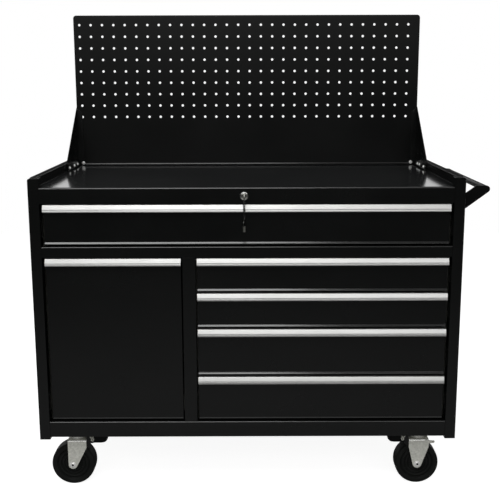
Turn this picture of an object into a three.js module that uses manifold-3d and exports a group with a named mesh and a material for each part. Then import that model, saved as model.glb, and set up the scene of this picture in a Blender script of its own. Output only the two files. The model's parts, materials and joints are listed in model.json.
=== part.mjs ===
// A tool trolley: a steel drawer cabinet on four swivel casters, with a tray top, a bolted
// pegboard behind it and a push handle on its right side. Millimetres, +Z up, the front faces -Y.
// The origin is on the floor, under the middle of the whole trolley.

import * as THREE from 'three';
import { mergeVertices } from 'three/addons/utils/BufferGeometryUtils.js';
import Module from 'manifold-3d';

const wasm = await Module();
wasm.setup();

// Driving dimensions of the cabinet
const cabinetWidth = 1200;
const cabinetDepth = 655;
const bottomRailHeight = 46;
const lowerOpeningHeight = 482;
const middleRailHeight = 31;
const topOpeningHeight = 120;
const topRailHeight = 44;
const trayWallHeight = 26;
const leftBankWidth = 390;
const stileWidth = 36;

// Driving dimensions of the pegboard
const pegboardSideInset = 19.5;
const pegboardRise = 501;
const holePitch = 38;
const holeDiameter = 8;
const holeRows = 9;

// Driving dimensions of the casters
const wheelDiameter = 127;
const wheelWidth = 50;
const casterHeight = 165;
const kingpinInset = 97;
const kingpinSetback = 65;

// Sheet metal and the gaps between pieces
const sheet = 1.5;
const gap = 0.3;
const overrun = 5;
const foldRadius = 3;
const weldDistance = 0.02;

// Frame
const postWidth = 30;
const postDepth = 30;
const postCornerRadius = 6;
const footDrop = 8;
const railFlange = 25;
const topRailFlange = 14;
const floorUpstand = 40;
const sideReturn = 20;
const rimWidth = 19;

// Drawers
const faceSideGap = 8;
const faceStileGap = 4.5;
const faceTopGap = 3.2;
const faceBottomGap = 4.5;
const faceSpacing = 5;
const faceRecess = 12;
const faceDepth = 14;
const bankFaceShares = [0.208, 0.216, 0.295, 0.281];
const boxDepth = 560;
const boxTopDrop = 24;
const boxFloorRise = 10;

// Pulls: an extruded rail along the top of every drawer face
const pullHeight = 20.5;
const pullStandOut = 15;
const pullWall = 2;
const pullLegHeight = 14;
const pullLap = 8;
const pullEdge = 0.7;
const grooveDrop = 13.6;
const grooveWidth = 1.2;
const grooveDepth = 0.8;

// Drawer slides
const slideInset = 4;
const slideSpace = 13;
const slideHeight = 45;
const slideDepth = 12;
const slideWall = 1.2;
const slideLip = 6;
const slideRise = 31;
const slideSetback = 34;
const slideLength = 565;
const runnerSetback = 40;
const runnerLength = 520;
const runnerNeckHeight = 20;
const uprightWidth = 25;
const uprightFrontSetback = 60;
const uprightRearSetback = 560;
const uprightHead = 10;

// Pegboard and its gussets
const pegboardInset = 15;
const pegboardLift = 4.5;
const pegboardFold = 12;
const pegboardCornerRadius = 10;
const topHoleDrop = 31.5;
const holeMargin = 20;
const holeShift = -9.4;
const gussetRise = 193;
const gussetReach = 203;
const gussetFlange = 20;
const gussetFootRadius = 30;

// Push handle
const handleReach = 90;
const barRadius = 9;
const barDrop = 16.5;
const noseWall = 1;
const armThickness = 4;
const armWidth = 37;
const armRise = 36;
const armSetback = 86;
const armFoot = 28;
const armFootThickness = 3;
const armShoulder = 50;

// Lock
const lockOffset = -7;
const lockHeight = 21;
const bezelRadius = 11.7;
const bezelThickness = 3;
const barrelRadius = 9.5;
const barrelLength = 20;
const plugRadius = 6;
const plugFront = 2;
const camLength = 17;
const camWidth = 12;
const camThickness = 2;
const keyThickness = 2;
const keyWidth = 7;
const keyBladeLength = 18;
const keyShoulder = 4;
const keyBowRadius = 12;
const keyHoleRadius = 4.5;
const keyHoleInset = 6.5;

// Caster
const plateLength = 100;
const plateWidth = 84;
const plateThickness = 4;
const raceRadius = 29;
const raceLowerRadius = 26;
const raceGroove = 2;
const kingpinRadius = 7;
const kingpinHeadRadius = 11;
const kingpinHeadHeight = 3.5;
const forkTopClearance = 13;
const forkWall = 3;
const forkWidth = 58;
const forkBend = 4.5;
const forkShoulder = 21;
const forkBossRadius = 13;
const forkBossStart = 190;
const forkBossEnd = 330;
const hubGap = 3.5;
const axleRadius = 6;
const axleHeadRadius = 9.5;
const axleHeadLength = 4;
const hubRadius = 16;
const wheelEdge = 4;
const leftTrail = 12.5;
const rightTrail = 3;
const leftForkLead = 25.5;
const rightForkLead = 29;

// Wheel faces: rings between these radii, as shares of the wheel's radius, and how far each is
// sunk, as shares of half its width
const ringRadiusShares = [0.78, 0.74, 0.62, 0.58];
const ringDepthShares = [0, 0.2, 0.2, 0.28];

// Brake pedal
const pedalReach = 92;
const pedalPivotOut = 22;
const pedalPivotDrop = 6;
const pedalBossRadius = 5;
const pedalPinRadius = 4;
const pedalWidth = 44;
const pedalNeckWidth = 20;
const pedalRise = 17;
const pedalDepth = 19.5;
const pedalToeShare = 0.26;
const pedalToeStart = 290;
const pedalHeelShare = 0.42;

// Roundness
const fineSides = 20;
const coarseSides = 12;
const holeSides = 6;
const arcSteps = 5;

// Levels of the frame above the feet of its posts
const lowerOpeningBottom = footDrop + bottomRailHeight;
const lowerOpeningTop = lowerOpeningBottom + lowerOpeningHeight;
const topOpeningBottom = lowerOpeningTop + middleRailHeight;
const topOpeningTop = topOpeningBottom + topOpeningHeight;
const trayFloorLevel = topOpeningTop + topRailHeight;
const rimLevel = trayFloorLevel + trayWallHeight;
const feetLevel = casterHeight - footDrop;

// Places across the cabinet
const halfWidth = cabinetWidth / 2;
const openingEdge = halfWidth - postWidth;
const sideInner = halfWidth - sheet;
const trayWallInner = halfWidth - rimWidth;
const stileLeft = leftBankWidth - openingEdge;
const stileRight = stileLeft + stileWidth;
const dividerCentre = (stileLeft + stileRight) / 2;
const backInner = cabinetDepth - sheet;
const pegboardFront = cabinetDepth - pegboardInset;
const pegboardWidth = cabinetWidth - 2 * pegboardSideInset;
const holeColumns = Math.floor((pegboardWidth - 2 * holeMargin) / holePitch) + 1;

// Places of the lock, the handle and the wheels
const lockLevel = topOpeningTop + lockHeight;
const barX = halfWidth + handleReach - barRadius - noseWall;
const barLevel = trayFloorLevel - barDrop;
const wheelRadius = wheelDiameter / 2;
const forkTop = wheelDiameter + forkTopClearance;
const legInner = wheelWidth / 2 + hubGap;
const legOuter = legInner + forkWall;
const keyFront = plugFront + keyShoulder + 2 * keyBowRadius;

const colours = {
  blackSteel: { color: 0x121313, roughness: 0.34, metalness: 0.15 },
  innerSteel: { color: 0x1b1c1d, roughness: 0.5, metalness: 0.2 },
  aluminium: { color: 0xd9dadb, roughness: 0.3, metalness: 0.9 },
  zinc: { color: 0xa7a79f, roughness: 0.42, metalness: 0.85 },
  chrome: { color: 0xdcdde0, roughness: 0.12, metalness: 1 },
  rubber: { color: 0x151515, roughness: 0.6, metalness: 0 },
  pedal: { color: 0x101010, roughness: 0.45, metalness: 0.1 },
  nickel: { color: 0xb9b7ae, roughness: 0.25, metalness: 0.95 },
};

// Solids and booleans

function solidOf(geometry) {
  const bare = geometry.index ? geometry.toNonIndexed() : geometry.clone();
  bare.deleteAttribute('normal');
  bare.deleteAttribute('uv');
  const merged = mergeVertices(bare, weldDistance);
  return new wasm.Manifold(new wasm.Mesh({
    numProp: 3,
    vertProperties: new Float32Array(merged.attributes.position.array),
    triVerts: new Uint32Array(merged.index.array),
  }));
}

function geometryOf(solid) {
  const mesh = solid.getMesh();
  const geometry = new THREE.BufferGeometry();
  geometry.setAttribute('position', new THREE.BufferAttribute(new Float32Array(mesh.vertProperties), 3));
  geometry.setIndex(new THREE.BufferAttribute(new Uint32Array(mesh.triVerts), 1));
  geometry.computeVertexNormals();
  return geometry;
}

function joined(solids) {
  return solids.reduce((sum, solid) => sum.add(solid));
}

function cutBy(solid, cutters) {
  return cutters.reduce((rest, cutter) => rest.subtract(cutter), solid);
}

// A block between two opposite corners, its X values in either order
function block(x0, x1, y0, y1, z0, z1) {
  const geometry = new THREE.BoxGeometry(Math.abs(x1 - x0), y1 - y0, z1 - z0);
  return solidOf(geometry.translate((x0 + x1) / 2, (y0 + y1) / 2, (z0 + z1) / 2));
}

// An outline through [a, b] points. With side = -1 it's mirrored from right to left
function shapeOf(points, side = 1) {
  return new THREE.Shape(points.map(([a, b]) => new THREE.Vector2(side * a, b)));
}

function extruded(shape, depth) {
  return new THREE.ExtrudeGeometry(shape, { depth, bevelEnabled: false, curveSegments: arcSteps });
}

// An outline in X and Z, carried along Y from y0 to y1
function alongY(shape, y0, y1) {
  return solidOf(extruded(shape, y1 - y0).rotateX(Math.PI / 2).translate(0, y1, 0));
}

// An outline in Y and Z, carried along X between two places in either order
function alongX(shape, x0, x1) {
  const geometry = extruded(shape, Math.abs(x1 - x0)).rotateZ(Math.PI / 2).rotateY(Math.PI / 2);
  return solidOf(geometry.translate(Math.min(x0, x1), 0, 0));
}

function rodAlongY(radius, x, z, y0, y1, sides) {
  const geometry = new THREE.CylinderGeometry(radius, radius, y1 - y0, sides);
  return solidOf(geometry.translate(x, (y0 + y1) / 2, z));
}

// A closed profile of [radius, place] points turned about Y, upwards on its outer side
function latheOf(points, sides) {
  return new THREE.LatheGeometry(points.map(([radius, place]) => new THREE.Vector2(radius, place)), sides);
}

function turnedAboutY(points, sides) {
  return solidOf(latheOf(points, sides));
}

function turnedAboutZ(points, sides) {
  return solidOf(latheOf(points, sides).rotateX(Math.PI / 2));
}

// The points of an arc about (a, b), between two angles in degrees
function arc(a, b, radius, from, to) {
  const points = [];
  for (let step = 0; step <= arcSteps; step += 1) {
    const angle = THREE.MathUtils.degToRad(from + (to - from) * step / arcSteps);
    points.push([a + radius * Math.cos(angle), b + radius * Math.sin(angle)]);
  }
  return points;
}

function meshOf(name, solid, look) {
  const mesh = new THREE.Mesh(geometryOf(solid), new THREE.MeshStandardMaterial(colours[look]));
  mesh.name = name;
  return mesh;
}

// Frame: posts, rails, panels

// One front post: a channel open to the rear, with a cap on top. side is 1 on the right, else -1
function postSolid(side) {
  const inner = openingEdge;
  const outline = shapeOf([
    [inner, 0], [halfWidth, 0],
    ...arc(halfWidth - postCornerRadius, rimLevel - postCornerRadius, postCornerRadius, 0, 90),
    [inner, rimLevel],
  ], side);
  const hollow = block(side * (inner + sheet), side * (halfWidth - sheet), sheet, postDepth + overrun,
    -overrun, rimLevel - postCornerRadius);
  return cutBy(alongY(outline, 0, postDepth), [hollow]);
}

// A rail between the posts: a front web with flanges folded to the rear, its top edge rounded
function railSolid(bottom, top, topFlange, bottomFlange) {
  const outline = [
    [bottomFlange, bottom], [0, bottom],
    ...arc(foldRadius, top - foldRadius, foldRadius, 180, 90),
    [topFlange, top], [topFlange, top - sheet],
    ...arc(foldRadius, top - foldRadius, foldRadius - sheet, 90, 180),
    [sheet, bottom + sheet], [bottomFlange, bottom + sheet],
  ];
  return alongX(shapeOf(outline), -openingEdge + gap, openingEdge - gap);
}

function topRailSolid() {
  const rail = railSolid(topOpeningTop, trayFloorLevel, topRailFlange, railFlange);
  const hole = rodAlongY(barrelRadius + gap, lockOffset, lockLevel, -overrun, overrun, fineSides);
  return cutBy(rail, [hole]);
}

// One side panel: an outer sheet with a return along its rear edge
function sidePanelSolid(side) {
  const top = rimLevel - sheet - gap;
  const rear = backInner - gap;
  const wall = block(side * sideInner, side * halfWidth, postDepth + gap, rear, 0, top);
  const bend = block(side * (sideInner - sideReturn), side * halfWidth, rear - sheet, rear,
    0, trayFloorLevel - sheet - gap);
  return joined([wall, bend]);
}

function backPanelSolid() {
  return block(-halfWidth, halfWidth, backInner, cabinetDepth, footDrop, trayFloorLevel - sheet - gap);
}

// The floor of the cabinet, folded up along its front and its rear
function floorPanelSolid() {
  const front = postDepth + gap;
  const rear = backInner - sheet - 2 * gap;
  const half = sideInner - sideReturn - gap;
  const body = block(-half, half, front, rear, footDrop, footDrop + floorUpstand);
  const hollow = block(-half - overrun, half + overrun, front + sheet, rear - sheet,
    footDrop + sheet, footDrop + floorUpstand + overrun);
  const wings = block(-sideInner + gap, sideInner - gap, front, rear - overrun, footDrop, footDrop + sheet);
  return joined([cutBy(body, [hollow]), wings]);
}

// The stile between the two banks of drawers, with the dividing wall behind it
function dividerSolid() {
  const bottom = lowerOpeningBottom + gap;
  const top = lowerOpeningTop - gap;
  const stile = block(stileLeft, stileRight, 0, postDepth, bottom, top);
  const hollow = block(stileLeft + sheet, stileRight - sheet, sheet, postDepth + overrun,
    bottom - overrun, top + overrun);
  const wallFloor = footDrop + sheet + gap;
  const frontWall = block(dividerCentre - sheet / 2, dividerCentre + sheet / 2, 0, postDepth + overrun,
    bottom, top);
  const rearWall = block(dividerCentre - sheet / 2, dividerCentre + sheet / 2,
    postDepth + gap + sheet + gap, backInner - sheet - sheet - 3 * gap, wallFloor, topOpeningBottom - gap);
  return joined([cutBy(stile, [hollow]), frontWall, rearWall]);
}

// The tray on top: its floor, low walls on three sides and a rim that covers the side panels
function traySolid() {
  const floorTop = trayFloorLevel;
  const floorUnder = trayFloorLevel - sheet;
  const front = postDepth + gap;
  const wallOuter = trayWallInner + sheet;
  const parts = [
    block(-wallOuter, wallOuter, front, cabinetDepth, floorUnder, floorTop),
    block(-openingEdge + gap, openingEdge - gap, topRailFlange + gap, front + overrun, floorUnder, floorTop),
    block(-halfWidth, halfWidth, backInner, cabinetDepth, floorUnder, rimLevel),
  ];
  for (const side of [-1, 1]) {
    parts.push(block(side * trayWallInner, side * wallOuter, front, cabinetDepth, floorUnder, rimLevel));
    parts.push(block(side * trayWallInner, side * halfWidth, front, cabinetDepth, rimLevel - sheet, rimLevel));
  }
  return joined(parts);
}

// Pegboard: a sheet with a grid of holes and edges folded to the rear

function roundedOutline(halfSpan, bottom, top, radius) {
  return [
    [-halfSpan, bottom], [halfSpan, bottom],
    ...arc(halfSpan - radius, top - radius, radius, 0, 90),
    ...arc(-halfSpan + radius, top - radius, radius, 90, 180),
  ];
}

function pegboardSolid() {
  const bottom = trayFloorLevel + pegboardLift;
  const top = trayFloorLevel + pegboardRise;
  const half = pegboardWidth / 2;
  const outline = shapeOf(roundedOutline(half, bottom, top, pegboardCornerRadius));
  for (let row = 0; row < holeRows; row += 1) {
    for (let column = 0; column < holeColumns; column += 1) {
      const x = holeShift + holePitch * (column - (holeColumns - 1) / 2);
      const z = top - topHoleDrop - holePitch * row;
      const hole = new THREE.Path();
      for (let corner = 0; corner < holeSides; corner += 1) {
        const angle = 2 * Math.PI * corner / holeSides;
        const place = [x + holeDiameter / 2 * Math.cos(angle), z + holeDiameter / 2 * Math.sin(angle)];
        if (corner === 0) {
          hole.moveTo(place[0], place[1]);
        } else {
          hole.lineTo(place[0], place[1]);
        }
      }
      hole.closePath();
      outline.holes.push(hole);
    }
  }
  const face = alongY(outline, pegboardFront, pegboardFront + sheet);
  const rim = shapeOf(roundedOutline(half, bottom, top, pegboardCornerRadius));
  const inside = roundedOutline(half - sheet, bottom + sheet, top - sheet, pegboardCornerRadius - sheet);
  rim.holes.push(new THREE.Path(inside.map(([x, z]) => new THREE.Vector2(x, z))));
  return joined([face, alongY(rim, pegboardFront, pegboardFront + pegboardFold)]);
}

// One gusset: a wing inside the tray's wall, with a flange in front of the pegboard
function gussetSolid(side) {
  const foot = trayFloorLevel + pegboardLift;
  const tip = foot + gussetRise;
  const rear = pegboardFront - gap;
  const front = rear - gussetReach;
  const outer = trayWallInner - gap;
  const wing = alongX(shapeOf([
    [rear, foot], [rear, tip], [rear - sheet, tip],
    [front, rimLevel],
    ...arc(front + gussetFootRadius, foot + gussetFootRadius, gussetFootRadius, 180, 270)
      .filter(([, height]) => height < rimLevel),
  ]), side * (outer - sheet), side * outer);
  const flange = alongY(shapeOf([
    [outer - gussetFlange, foot], [outer, foot], [outer, tip], [outer - sheet, tip],
    [outer - gussetFlange, tip - gussetFlange],
  ], side), rear - sheet, rear);
  return joined([wing, flange]);
}

// Push handle

// One arm in X and Z: a sloping plate whose nose goes round the bar, with a foot on the side panel
function handleArmSolid(footTowardsRear) {
  const root = halfWidth + gap;
  const noseRadius = barRadius + noseWall;
  const slope = THREE.MathUtils.radToDeg(Math.atan2(armRise, armShoulder));
  const drop = armWidth / Math.cos(THREE.MathUtils.degToRad(slope));
  const shoulderX = root + armShoulder;
  const shoulderZ = barLevel + noseRadius;
  const upperRoot = shoulderZ - armRise;
  const lowerRoot = upperRoot - drop;
  const outline = shapeOf([
    [root, lowerRoot],
    ...arc(barX, barLevel, noseRadius, slope - 90, 90),
    [shoulderX, shoulderZ],
    [root, upperRoot],
  ]);
  const plate = alongY(outline, 0, armThickness);
  const footStart = footTowardsRear ? 0 : armThickness - armFoot;
  const foot = block(root, root + armFootThickness, footStart, footStart + armFoot, lowerRoot, upperRoot);
  return joined([plate, foot]);
}

function handleBarSolid() {
  const from = armSetback + armThickness + gap;
  const to = cabinetDepth - armSetback - armThickness - gap;
  return rodAlongY(barRadius, barX, barLevel, from, to, fineSides);
}

// Lock, drawn about its own axis along Y, with the rail's front at Y = 0

function lockHousingSolid() {
  const bore = plugRadius + gap;
  return turnedAboutY([
    [bore, barrelLength], [bore, -bezelThickness], [barrelRadius, -bezelThickness],
    [bezelRadius, -bezelThickness / 2], [bezelRadius, -gap], [barrelRadius, -gap],
    [barrelRadius, barrelLength], [bore, barrelLength],
  ], fineSides);
}

function lockPlugSolid() {
  const plug = rodAlongY(plugRadius, 0, 0, -plugFront, barrelLength, fineSides);
  const slot = block(-keyThickness / 2 - gap, keyThickness / 2 + gap, -plugFront - overrun,
    keyBladeLength + gap, -keyWidth / 2 - gap, keyWidth / 2 + gap);
  return cutBy(plug, [slot]);
}

function lockCamSolid() {
  const front = barrelLength + gap;
  const outline = shapeOf([
    ...arc(0, 0, camWidth / 2, 270, 90),
    [-camLength, camWidth / 2], [-camLength, -camWidth / 2],
  ]);
  return alongY(outline, front, front + camThickness);
}

function keySolid() {
  const bowCentre = -plugFront - keyShoulder - keyBowRadius;
  const bow = shapeOf([
    ...arc(bowCentre, 0, keyBowRadius, 0, 180), ...arc(bowCentre, 0, keyBowRadius, 180, 360),
  ]);
  const holeCentre = bowCentre - keyBowRadius + keyHoleInset;
  const hole = new THREE.Path().absarc(holeCentre, 0, keyHoleRadius, 0, 2 * Math.PI, true);
  bow.holes.push(hole);
  const half = keyThickness / 2;
  const blade = block(-half, half, -plugFront - keyShoulder - keyWidth / 2, keyBladeLength,
    -keyWidth / 2, keyWidth / 2);
  return joined([alongX(bow, -half, half), blade]);
}

// Drawers

// Where the drawers of one bank run: the planes of their slides and the ends of their faces
const wholeBank = {
  left: -openingEdge + slideInset,
  right: openingEdge - slideInset,
  faceLeft: -openingEdge + faceSideGap,
  faceRight: openingEdge - faceSideGap,
};
const leftBank = {
  left: wholeBank.left,
  right: stileLeft - slideInset,
  faceLeft: wholeBank.faceLeft,
  faceRight: stileLeft - faceStileGap,
};
const rightBank = {
  left: stileRight + slideInset,
  right: wholeBank.right,
  faceLeft: stileRight + faceStileGap,
  faceRight: wholeBank.faceRight,
};

function bankDrawers() {
  const bottom = lowerOpeningBottom + faceBottomGap;
  const top = lowerOpeningTop - faceTopGap;
  const free = top - bottom - faceSpacing * (bankFaceShares.length - 1);
  const list = [];
  let upper = top;
  bankFaceShares.forEach((share, index) => {
    const height = free * share;
    list.push({ name: `side_drawer_${index + 1}`, bank: rightBank, bottom: upper - height, height });
    upper -= height + faceSpacing;
  });
  return list;
}

const drawers = [
  {
    name: 'top_drawer',
    bank: wholeBank,
    bottom: topOpeningBottom + faceBottomGap,
    height: topOpeningHeight - faceBottomGap - faceTopGap,
  },
  {
    name: 'deep_drawer',
    bank: leftBank,
    bottom: lowerOpeningBottom + faceBottomGap,
    height: lowerOpeningHeight - faceBottomGap - faceTopGap,
  },
  ...bankDrawers(),
];

// One drawer about the middle of its bank, its face's front at Y = 0 and its lower edge at Z = 0:
// a folded face, a box open on top and a runner on each side
function drawerSolid({ bank, height }) {
  const middle = (bank.left + bank.right) / 2;
  const faceLeft = bank.faceLeft - middle;
  const faceRight = bank.faceRight - middle;
  const faceTop = height - pullWall - gap;
  const half = (bank.right - bank.left) / 2 - slideSpace;
  const boxTop = height - boxTopDrop;
  const boxEnd = faceDepth + boxDepth;
  const face = cutBy(block(faceLeft, faceRight, 0, faceDepth, 0, faceTop), [
    block(faceLeft + sheet, faceRight - sheet, sheet, faceDepth + overrun, sheet, faceTop - sheet),
  ]);
  const box = cutBy(block(-half, half, 0, boxEnd, boxFloorRise, boxTop), [
    block(-half + sheet, half - sheet, sheet, faceDepth, boxFloorRise + sheet, boxTop + overrun),
    block(-half + sheet, half - sheet, faceDepth + sheet, boxEnd - sheet, boxFloorRise + sheet,
      boxTop + overrun),
  ]);
  const runners = [-1, 1].map((side) => runnerSolid(side, half));
  return joined([face, box, ...runners]);
}

// A runner: a flat head on a neck, which slides inside the channel of the cabinet's slide
function runnerSolid(side, half) {
  const centre = boxFloorRise + slideRise;
  const headHalf = slideHeight / 2 - slideWall - gap;
  const from = runnerSetback - faceRecess;
  const to = from + runnerLength;
  const neckInner = half - sheet / 2;
  const headInner = half + slideSpace - slideDepth + slideWall + gap;
  const headOuter = half + slideSpace - slideWall - gap;
  const neck = block(side * neckInner, side * headOuter, from, to,
    centre - runnerNeckHeight / 2, centre + runnerNeckHeight / 2);
  const head = block(side * headInner, side * headOuter, from, to, centre - headHalf, centre + headHalf);
  return joined([neck, head]);
}

// The pull in Y and Z: a front plate with a groove, a top that laps over the face, and a leg that
// seats on the face's front, so that fingers go up behind the plate
function pullSolid({ bank, height }) {
  const middle = (bank.left + bank.right) / 2;
  const back = pullWall - pullStandOut;
  const outline = shapeOf([
    [-pullStandOut, height - pullEdge],
    [-pullStandOut, height - grooveDrop],
    [-pullStandOut + grooveDepth, height - grooveDrop - grooveWidth / 2],
    [-pullStandOut, height - grooveDrop - grooveWidth],
    [-pullStandOut, height - pullHeight + pullEdge],
    [-pullStandOut + pullEdge, height - pullHeight],
    [back, height - pullHeight],
    [back, height - pullWall],
    [-gap - sheet, height - pullWall],
    [-gap - sheet, height - pullLegHeight],
    [-gap, height - pullLegHeight],
    [-gap, height - pullWall],
    [pullLap, height - pullWall],
    [pullLap, height],
    [-pullStandOut + pullEdge, height],
  ]);
  return alongX(outline, bank.faceLeft - middle, bank.faceRight - middle);
}

function slideLevel(drawer) {
  return drawer.bottom + boxFloorRise + slideRise;
}

// A rack in Y and Z beside a bank: two uprights against the wall, and a channel for each drawer.
// The channel opens towards `side`, and its back lies in the plane X = 0
function slideRackSolid(side, wallDistance, levels) {
  const bottom = footDrop + sheet + gap;
  const top = Math.max(...levels) + slideHeight / 2 + uprightHead;
  const parts = [];
  for (const front of [uprightFrontSetback, uprightRearSetback]) {
    const upright = block(0, -side * wallDistance, front, front + uprightWidth, bottom, top);
    const hollow = block(-side * sheet, -side * (wallDistance + overrun), front + sheet,
      front + uprightWidth - sheet, bottom - overrun, top + overrun);
    parts.push(cutBy(upright, [hollow]));
  }
  for (const level of levels) {
    const low = level - slideHeight / 2;
    const high = level + slideHeight / 2;
    const rear = slideSetback + slideLength;
    const channel = block(-side * sheet, side * slideDepth, slideSetback, rear, low, high);
    const hollow = block(side * slideWall, side * (slideDepth - slideWall), slideSetback - overrun,
      rear + overrun, low + slideWall, high - slideWall);
    const mouth = block(side * slideWall, side * (slideDepth + overrun), slideSetback - overrun,
      rear + overrun, low + slideLip, high - slideLip);
    parts.push(cutBy(channel, [hollow, mouth]));
  }
  return joined(parts);
}

// Casters, about their kingpin, with the floor at Z = 0

function casterPlateSolid() {
  const top = casterHeight - gap;
  const under = top - plateThickness;
  const plate = block(-plateLength / 2, plateLength / 2, -plateWidth / 2, plateWidth / 2, under, top);
  const raceBottom = forkTop + gap;
  const raceMiddle = (under + raceBottom) / 2;
  const head = turnedAboutZ([
    [0, under + plateThickness / 2], [raceRadius, under + plateThickness / 2],
    [raceRadius, raceMiddle + raceGroove / 2], [raceRadius - raceGroove, raceMiddle],
    [raceRadius, raceMiddle - raceGroove / 2], [raceLowerRadius, raceBottom],
    [kingpinRadius, raceBottom], [kingpinRadius, forkTop - forkWall - gap],
    [kingpinHeadRadius, forkTop - forkWall - gap],
    [kingpinHeadRadius, forkTop - forkWall - gap - kingpinHeadHeight],
    [0, forkTop - forkWall - gap - kingpinHeadHeight],
  ].reverse(), fineSides);
  return joined([plate, head]);
}

// The fork: a folded strap over the wheel, its legs tapered down to the axle. lead is how far it
// goes to -X of the kingpin, and trail how far the axle is. pedalSide is 1 or -1 where a brake
// pedal hangs from it on that side, and 0 without
function forkSolid(trail, lead, pedalSide) {
  const inside = forkTop - forkWall;
  const axleZ = wheelRadius;
  const low = axleZ - forkBossRadius;
  const strap = alongX(shapeOf([
    [legOuter, low], ...arc(legOuter - forkBend, forkTop - forkBend, forkBend, 0, 90),
    ...arc(-legOuter + forkBend, forkTop - forkBend, forkBend, 90, 180), [-legOuter, low],
    [-legInner, low], ...arc(-legOuter + forkBend, forkTop - forkBend, forkBend - forkWall, 180, 90),
    ...arc(legOuter - forkBend, forkTop - forkBend, forkBend - forkWall, 90, 0), [legInner, low],
  ]), -forkWidth, forkWidth);
  const half = forkWidth / 2;
  const outline = alongY(shapeOf([
    [-lead, inside - forkShoulder], ...arc(-trail, axleZ, forkBossRadius, forkBossStart, forkBossEnd),
    [half, inside - forkShoulder], [half, forkTop + overrun], [-lead, forkTop + overrun],
  ]), -legOuter - overrun, legOuter + overrun);
  const cutters = [
    rodAlongY(axleRadius + gap, -trail, axleZ, -legOuter - overrun, legOuter + overrun, coarseSides),
    turnedAboutZ([[0, inside - overrun], [kingpinRadius + gap, inside - overrun],
      [kingpinRadius + gap, forkTop + overrun], [0, forkTop + overrun]], fineSides),
  ];
  if (pedalSide !== 0) {
    cutters.push(rodAlongY(pedalPinRadius + gap, pedalSide * pedalPivotOut, inside - pedalPivotDrop,
      -legOuter - overrun, legOuter + overrun, coarseSides));
  }
  return cutBy(strap.intersect(outline), cutters);
}

// The wheel about its own axis along Y: a tread with rounded edges and stepped faces
function wheelSolid() {
  const half = wheelWidth / 2;
  const hubHalf = legInner - gap;
  const bore = axleRadius + gap;
  const side = [
    [bore, hubHalf], [hubRadius, hubHalf], [hubRadius, half * (1 - ringDepthShares[3])],
    ...[3, 2, 1, 0].map((ring) => [wheelRadius * ringRadiusShares[ring], half * (1 - ringDepthShares[ring])]),
    [wheelRadius - wheelEdge, half], [wheelRadius, half - wheelEdge],
  ];
  const mirrored = side.map(([radius, height]) => [radius, -height]).reverse();
  return turnedAboutY([...side, ...mirrored, side[0]].reverse(), fineSides);
}

function axleSolid() {
  return joined([
    rodAlongY(axleRadius, 0, 0, -legOuter - axleHeadLength, legOuter + axleHeadLength, coarseSides),
    rodAlongY(axleHeadRadius, 0, 0, -legOuter - gap - axleHeadLength, -legOuter - gap, coarseSides),
    rodAlongY(axleHeadRadius, 0, 0, legOuter + gap, legOuter + gap + axleHeadLength, holeSides),
  ]);
}

// The brake pedal about its pin: a boss and neck between the legs and a rounded tread beyond them.
// It reaches towards +X with side = 1 and towards -X with side = -1
function pedalSolid(side) {
  const reach = pedalReach - pedalPivotOut;
  const bottom = pedalRise - pedalDepth;
  const toe = reach * pedalToeShare;
  const heel = reach * pedalHeelShare;
  const clearOfFork = forkWidth / 2 - pedalPivotOut + gap;
  const neck = alongY(shapeOf([
    ...arc(0, 0, pedalBossRadius, 90, 270), [clearOfFork + toe, -pedalBossRadius],
    [clearOfFork + toe, pedalBossRadius],
  ], side), -pedalNeckWidth, pedalNeckWidth);
  const tread = alongY(shapeOf([
    [clearOfFork, pedalRise], [clearOfFork, -pedalBossRadius],
    [heel, bottom], [reach - toe - pedalPinRadius, bottom],
    ...arc(reach - toe, bottom + toe, toe, pedalToeStart, 360), [reach, pedalRise],
  ], side), -pedalWidth / 2, pedalWidth / 2);
  const pin = rodAlongY(pedalPinRadius, 0, 0, -legOuter, legOuter, coarseSides);
  return joined([neck, tread, pin]);
}

// Assembly

const trolley = new THREE.Group();
const cabinet = new THREE.Group();
cabinet.position.set(0, 0, feetLevel);

for (const [name, side] of [['left', -1], ['right', 1]]) {
  cabinet.add(meshOf(`${name}_front_post`, postSolid(side), 'blackSteel'));
  cabinet.add(meshOf(`${name}_side_panel`, sidePanelSolid(side), 'blackSteel'));
  cabinet.add(meshOf(`${name}_gusset`, gussetSolid(side), 'blackSteel'));
}
cabinet.add(meshOf('back_panel', backPanelSolid(), 'blackSteel'));
cabinet.add(meshOf('floor_panel', floorPanelSolid(), 'innerSteel'));
cabinet.add(meshOf('divider', dividerSolid(), 'blackSteel'));
cabinet.add(meshOf('tray', traySolid(), 'blackSteel'));
cabinet.add(meshOf('pegboard', pegboardSolid(), 'blackSteel'));
cabinet.add(meshOf('top_rail', topRailSolid(), 'blackSteel'));
cabinet.add(meshOf('middle_rail', railSolid(lowerOpeningTop, topOpeningBottom, railFlange, railFlange),
  'blackSteel'));
cabinet.add(meshOf('bottom_rail', railSolid(footDrop, lowerOpeningBottom, railFlange, railFlange),
  'blackSteel'));

for (const [name, footTowardsRear, y] of [
  ['front_handle_arm', true, armSetback],
  ['rear_handle_arm', false, cabinetDepth - armSetback - armThickness],
]) {
  const arm = meshOf(name, handleArmSolid(footTowardsRear), 'blackSteel');
  arm.position.y = y;
  cabinet.add(arm);
}
cabinet.add(meshOf('handle_bar', handleBarSolid(), 'blackSteel'));

const lock = new THREE.Group();
lock.position.set(lockOffset, 0, lockLevel);
lock.add(meshOf('lock_housing', lockHousingSolid(), 'chrome'));
lock.add(meshOf('lock_plug', lockPlugSolid(), 'chrome'));
lock.add(meshOf('lock_cam', lockCamSolid(), 'zinc'));
lock.add(meshOf('key', keySolid(), 'nickel'));
cabinet.add(lock);

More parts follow.
